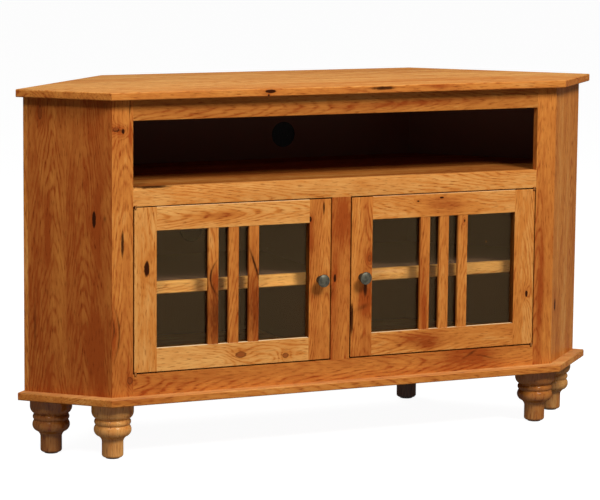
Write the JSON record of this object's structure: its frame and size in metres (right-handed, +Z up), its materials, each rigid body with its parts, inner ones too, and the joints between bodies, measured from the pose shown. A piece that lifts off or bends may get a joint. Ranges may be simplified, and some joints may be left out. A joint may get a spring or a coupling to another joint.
{
  "type": "corner tv cabinet",
  "caption": "Corner TV cabinet with angled sides: an open equipment bay above hinged glazed doors with upright slats, overhanging top and base boards, and turned feet.",
  "frame": {"origin": "on the floor, at the middle of the cabinet's box seen from above", "axes": "+X to the right along the front, +Y from the front towards the room's corner, +Z up"},
  "size_m": [1.5238, 0.51, 0.856],
  "materials": {
    "top_wood": "satin lacquer on rustic hickory",
    "side_wood": "satin lacquer on rustic hickory, darker heartwood",
    "frame_wood": "satin lacquer on rustic hickory",
    "door_wood": "satin lacquer on rustic hickory",
    "foot_wood": "gloss lacquer on turned hickory",
    "inner_wood": "dark stain, satin",
    "glass": "clear polished",
    "pewter": "antique pewter",
    "brass": "satin",
    "steel": "zinc plated",
    "catch_plastic": "matt brown",
    "glide_plastic": "matt black"
  },
  "bodies": {
    "carcass": {"back_left_foot": "foot_wood", "back_right_foot": "foot_wood", "base_board": "top_wood", "bay_deck": "frame_wood", "bottom_face_rail": "frame_wood", "center_back_panel": "inner_wood", "center_divider": "inner_wood", "center_face_stile": "frame_wood", "cupboard_floor": "inner_wood", "door_catches": "catch_plastic", "foot_bolts": "steel", "foot_glides": "glide_plastic", "foot_nuts": "steel", "frame_hinge_leaves": "brass", "front_left_foot": "foot_wood", "front_right_foot": "foot_wood", "hinge_pins": "brass", "left_face_stile": "frame_wood", "left_shelf": "inner_wood", "left_shelf_nosing": "door_wood", "left_side_panel": "side_wood", "left_wall_panel": "inner_wood", "middle_face_rail": "frame_wood", "right_face_stile": "frame_wood", "right_shelf": "inner_wood", "right_shelf_nosing": "door_wood", "right_side_panel": "side_wood", "right_wall_panel": "inner_wood", "shelf_pins": "brass", "side_left_foot": "foot_wood", "side_right_foot": "foot_wood", "top_cleats": "inner_wood", "top_face_rail": "frame_wood", "top_panel": "top_wood"},
    "left_door": {"left_door_bottom_rail": "door_wood", "left_door_glass": "glass", "left_door_hinge_leaves": "brass", "left_door_hinge_stile": "door_wood", "left_door_knob_stile": "door_wood", "left_door_slat_1": "door_wood", "left_door_slat_2": "door_wood", "left_door_slat_3": "door_wood", "left_door_top_rail": "door_wood", "left_glass_stops": "door_wood", "left_knob": "pewter", "left_knob_screw": "steel", "left_strike": "steel"},
    "right_door": {"right_door_bottom_rail": "door_wood", "right_door_glass": "glass", "right_door_hinge_leaves": "brass", "right_door_hinge_stile": "door_wood", "right_door_knob_stile": "door_wood", "right_door_slat_1": "door_wood", "right_door_slat_2": "door_wood", "right_door_slat_3": "door_wood", "right_door_top_rail": "door_wood", "right_glass_stops": "door_wood", "right_knob": "pewter", "right_knob_screw": "steel", "right_strike": "steel"}
  },
  "joints": [
    {"name": "left_door_hinge", "type": "hinge", "parent": "carcass", "child": "left_door", "pos_m": [-0.5245, -0.228, 0.397], "axis": [0, 0, -1], "range_deg": [0, 110]},
    {"name": "right_door_hinge", "type": "hinge", "parent": "carcass", "child": "right_door", "pos_m": [0.5245, -0.228, 0.397], "axis": [0, 0, 1], "range_deg": [0, 110]}
  ]
}
